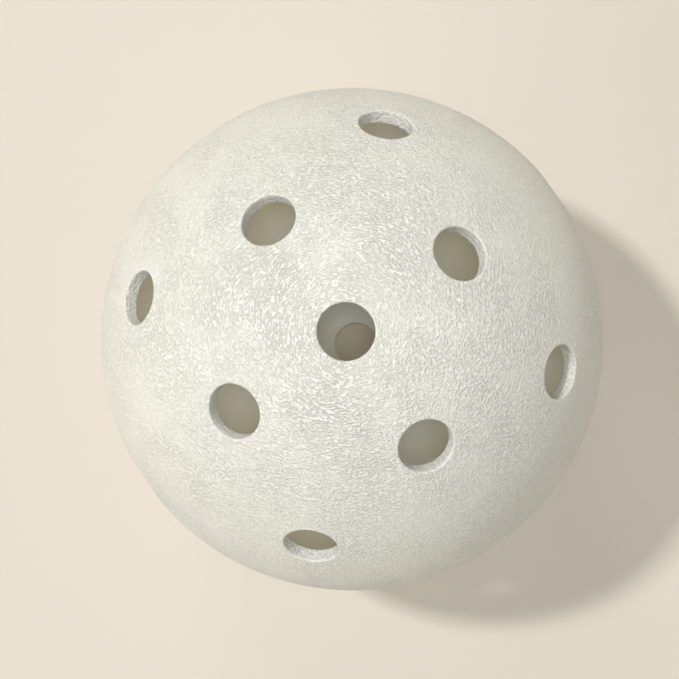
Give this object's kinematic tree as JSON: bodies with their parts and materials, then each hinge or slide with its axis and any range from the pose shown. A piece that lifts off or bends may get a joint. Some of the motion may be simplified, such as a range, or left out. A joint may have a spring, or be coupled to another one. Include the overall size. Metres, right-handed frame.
{
  "type": "perforated ball",
  "caption": "Hollow plastic pickleball ball with round air holes in staggered rings, made of half shells welded at the equator, with a fine pebbled skin.",
  "frame": {"origin": "centre of the ball", "axes": "+Z out through the pole hole of the upper half shell, the weld seam in the XY plane, +X and +Y under holes of the upper half's second ring"},
  "size_m": [0.074, 0.074, 0.0736],
  "materials": {
    "shell_plastic": "fine pebbled grain outside, smooth inside",
    "weld_plastic": "smooth, remelted"
  },
  "bodies": {
    "root": {"upper_half_shell": "shell_plastic", "lower_half_shell": "shell_plastic", "weld_ring": "weld_plastic"}
  },
  "joints": []
}
